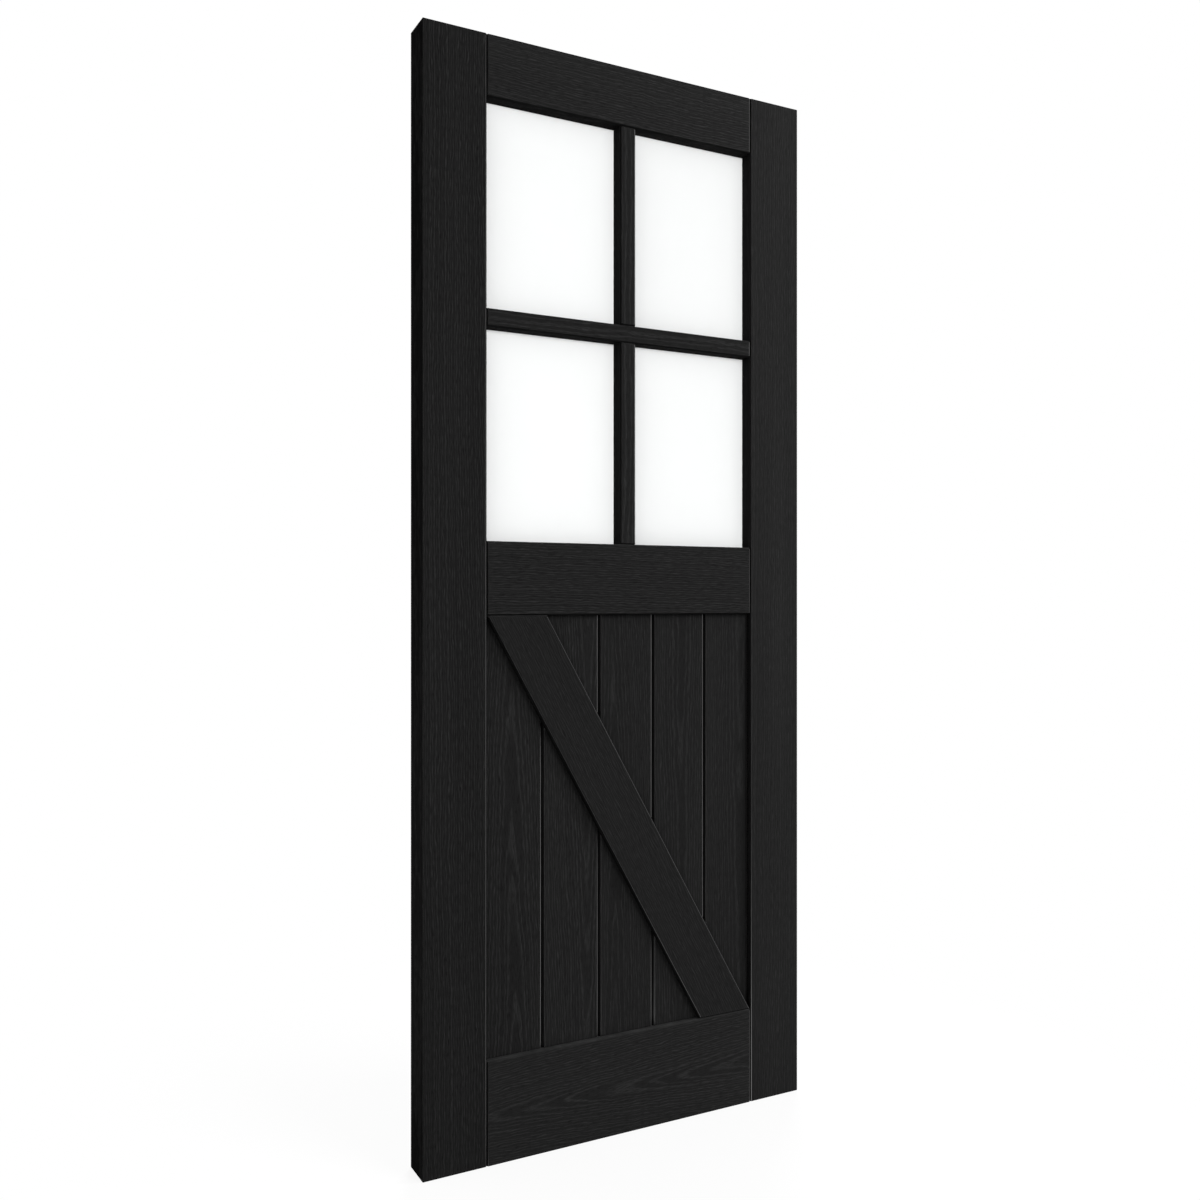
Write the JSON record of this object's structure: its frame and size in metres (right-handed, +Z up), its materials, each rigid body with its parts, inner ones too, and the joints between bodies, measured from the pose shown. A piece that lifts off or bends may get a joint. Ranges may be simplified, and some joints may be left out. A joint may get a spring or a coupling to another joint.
{
  "type": "glazed and braced barn door leaf",
  "caption": "Black stained timber barn door leaf: glazed upper half with a cross of bars, boarded lower half with a diagonal brace.",
  "frame": {"origin": "foot of the hinge edge, at the middle of the thickness, on the edge face that the hinges are let into", "axes": "+X out of the hinge edge, away from the leaf; +Y from the front face to the back face; +Z up"},
  "size_m": [0.813, 0.064, 2.032],
  "materials": {
    "black_stained_timber": "open-grain timber, black stained, low sheen",
    "satin_glass": "satin white glass, smooth on the outside"
  },
  "bodies": {
    "root": {"back_brace": "black_stained_timber", "board_1": "black_stained_timber", "board_2": "black_stained_timber", "board_3": "black_stained_timber", "board_4": "black_stained_timber", "board_5": "black_stained_timber", "bottom_rail": "black_stained_timber", "front_brace": "black_stained_timber", "hinge_stile": "black_stained_timber", "horizontal_glazing_bar": "black_stained_timber", "lock_rail": "black_stained_timber", "lock_stile": "black_stained_timber", "lower_glazing_bar": "black_stained_timber", "lower_left_bottom_bead": "black_stained_timber", "lower_left_left_bead": "black_stained_timber", "lower_left_pane": "satin_glass", "lower_left_right_bead": "black_stained_timber", "lower_left_top_bead": "black_stained_timber", "lower_right_bottom_bead": "black_stained_timber", "lower_right_left_bead": "black_stained_timber", "lower_right_pane": "satin_glass", "lower_right_right_bead": "black_stained_timber", "lower_right_top_bead": "black_stained_timber", "top_rail": "black_stained_timber", "upper_glazing_bar": "black_stained_timber", "upper_left_bottom_bead": "black_stained_timber", "upper_left_left_bead": "black_stained_timber", "upper_left_pane": "satin_glass", "upper_left_right_bead": "black_stained_timber", "upper_left_top_bead": "black_stained_timber", "upper_right_bottom_bead": "black_stained_timber", "upper_right_left_bead": "black_stained_timber", "upper_right_pane": "satin_glass", "upper_right_right_bead": "black_stained_timber", "upper_right_top_bead": "black_stained_timber"}
  },
  "joints": []
}
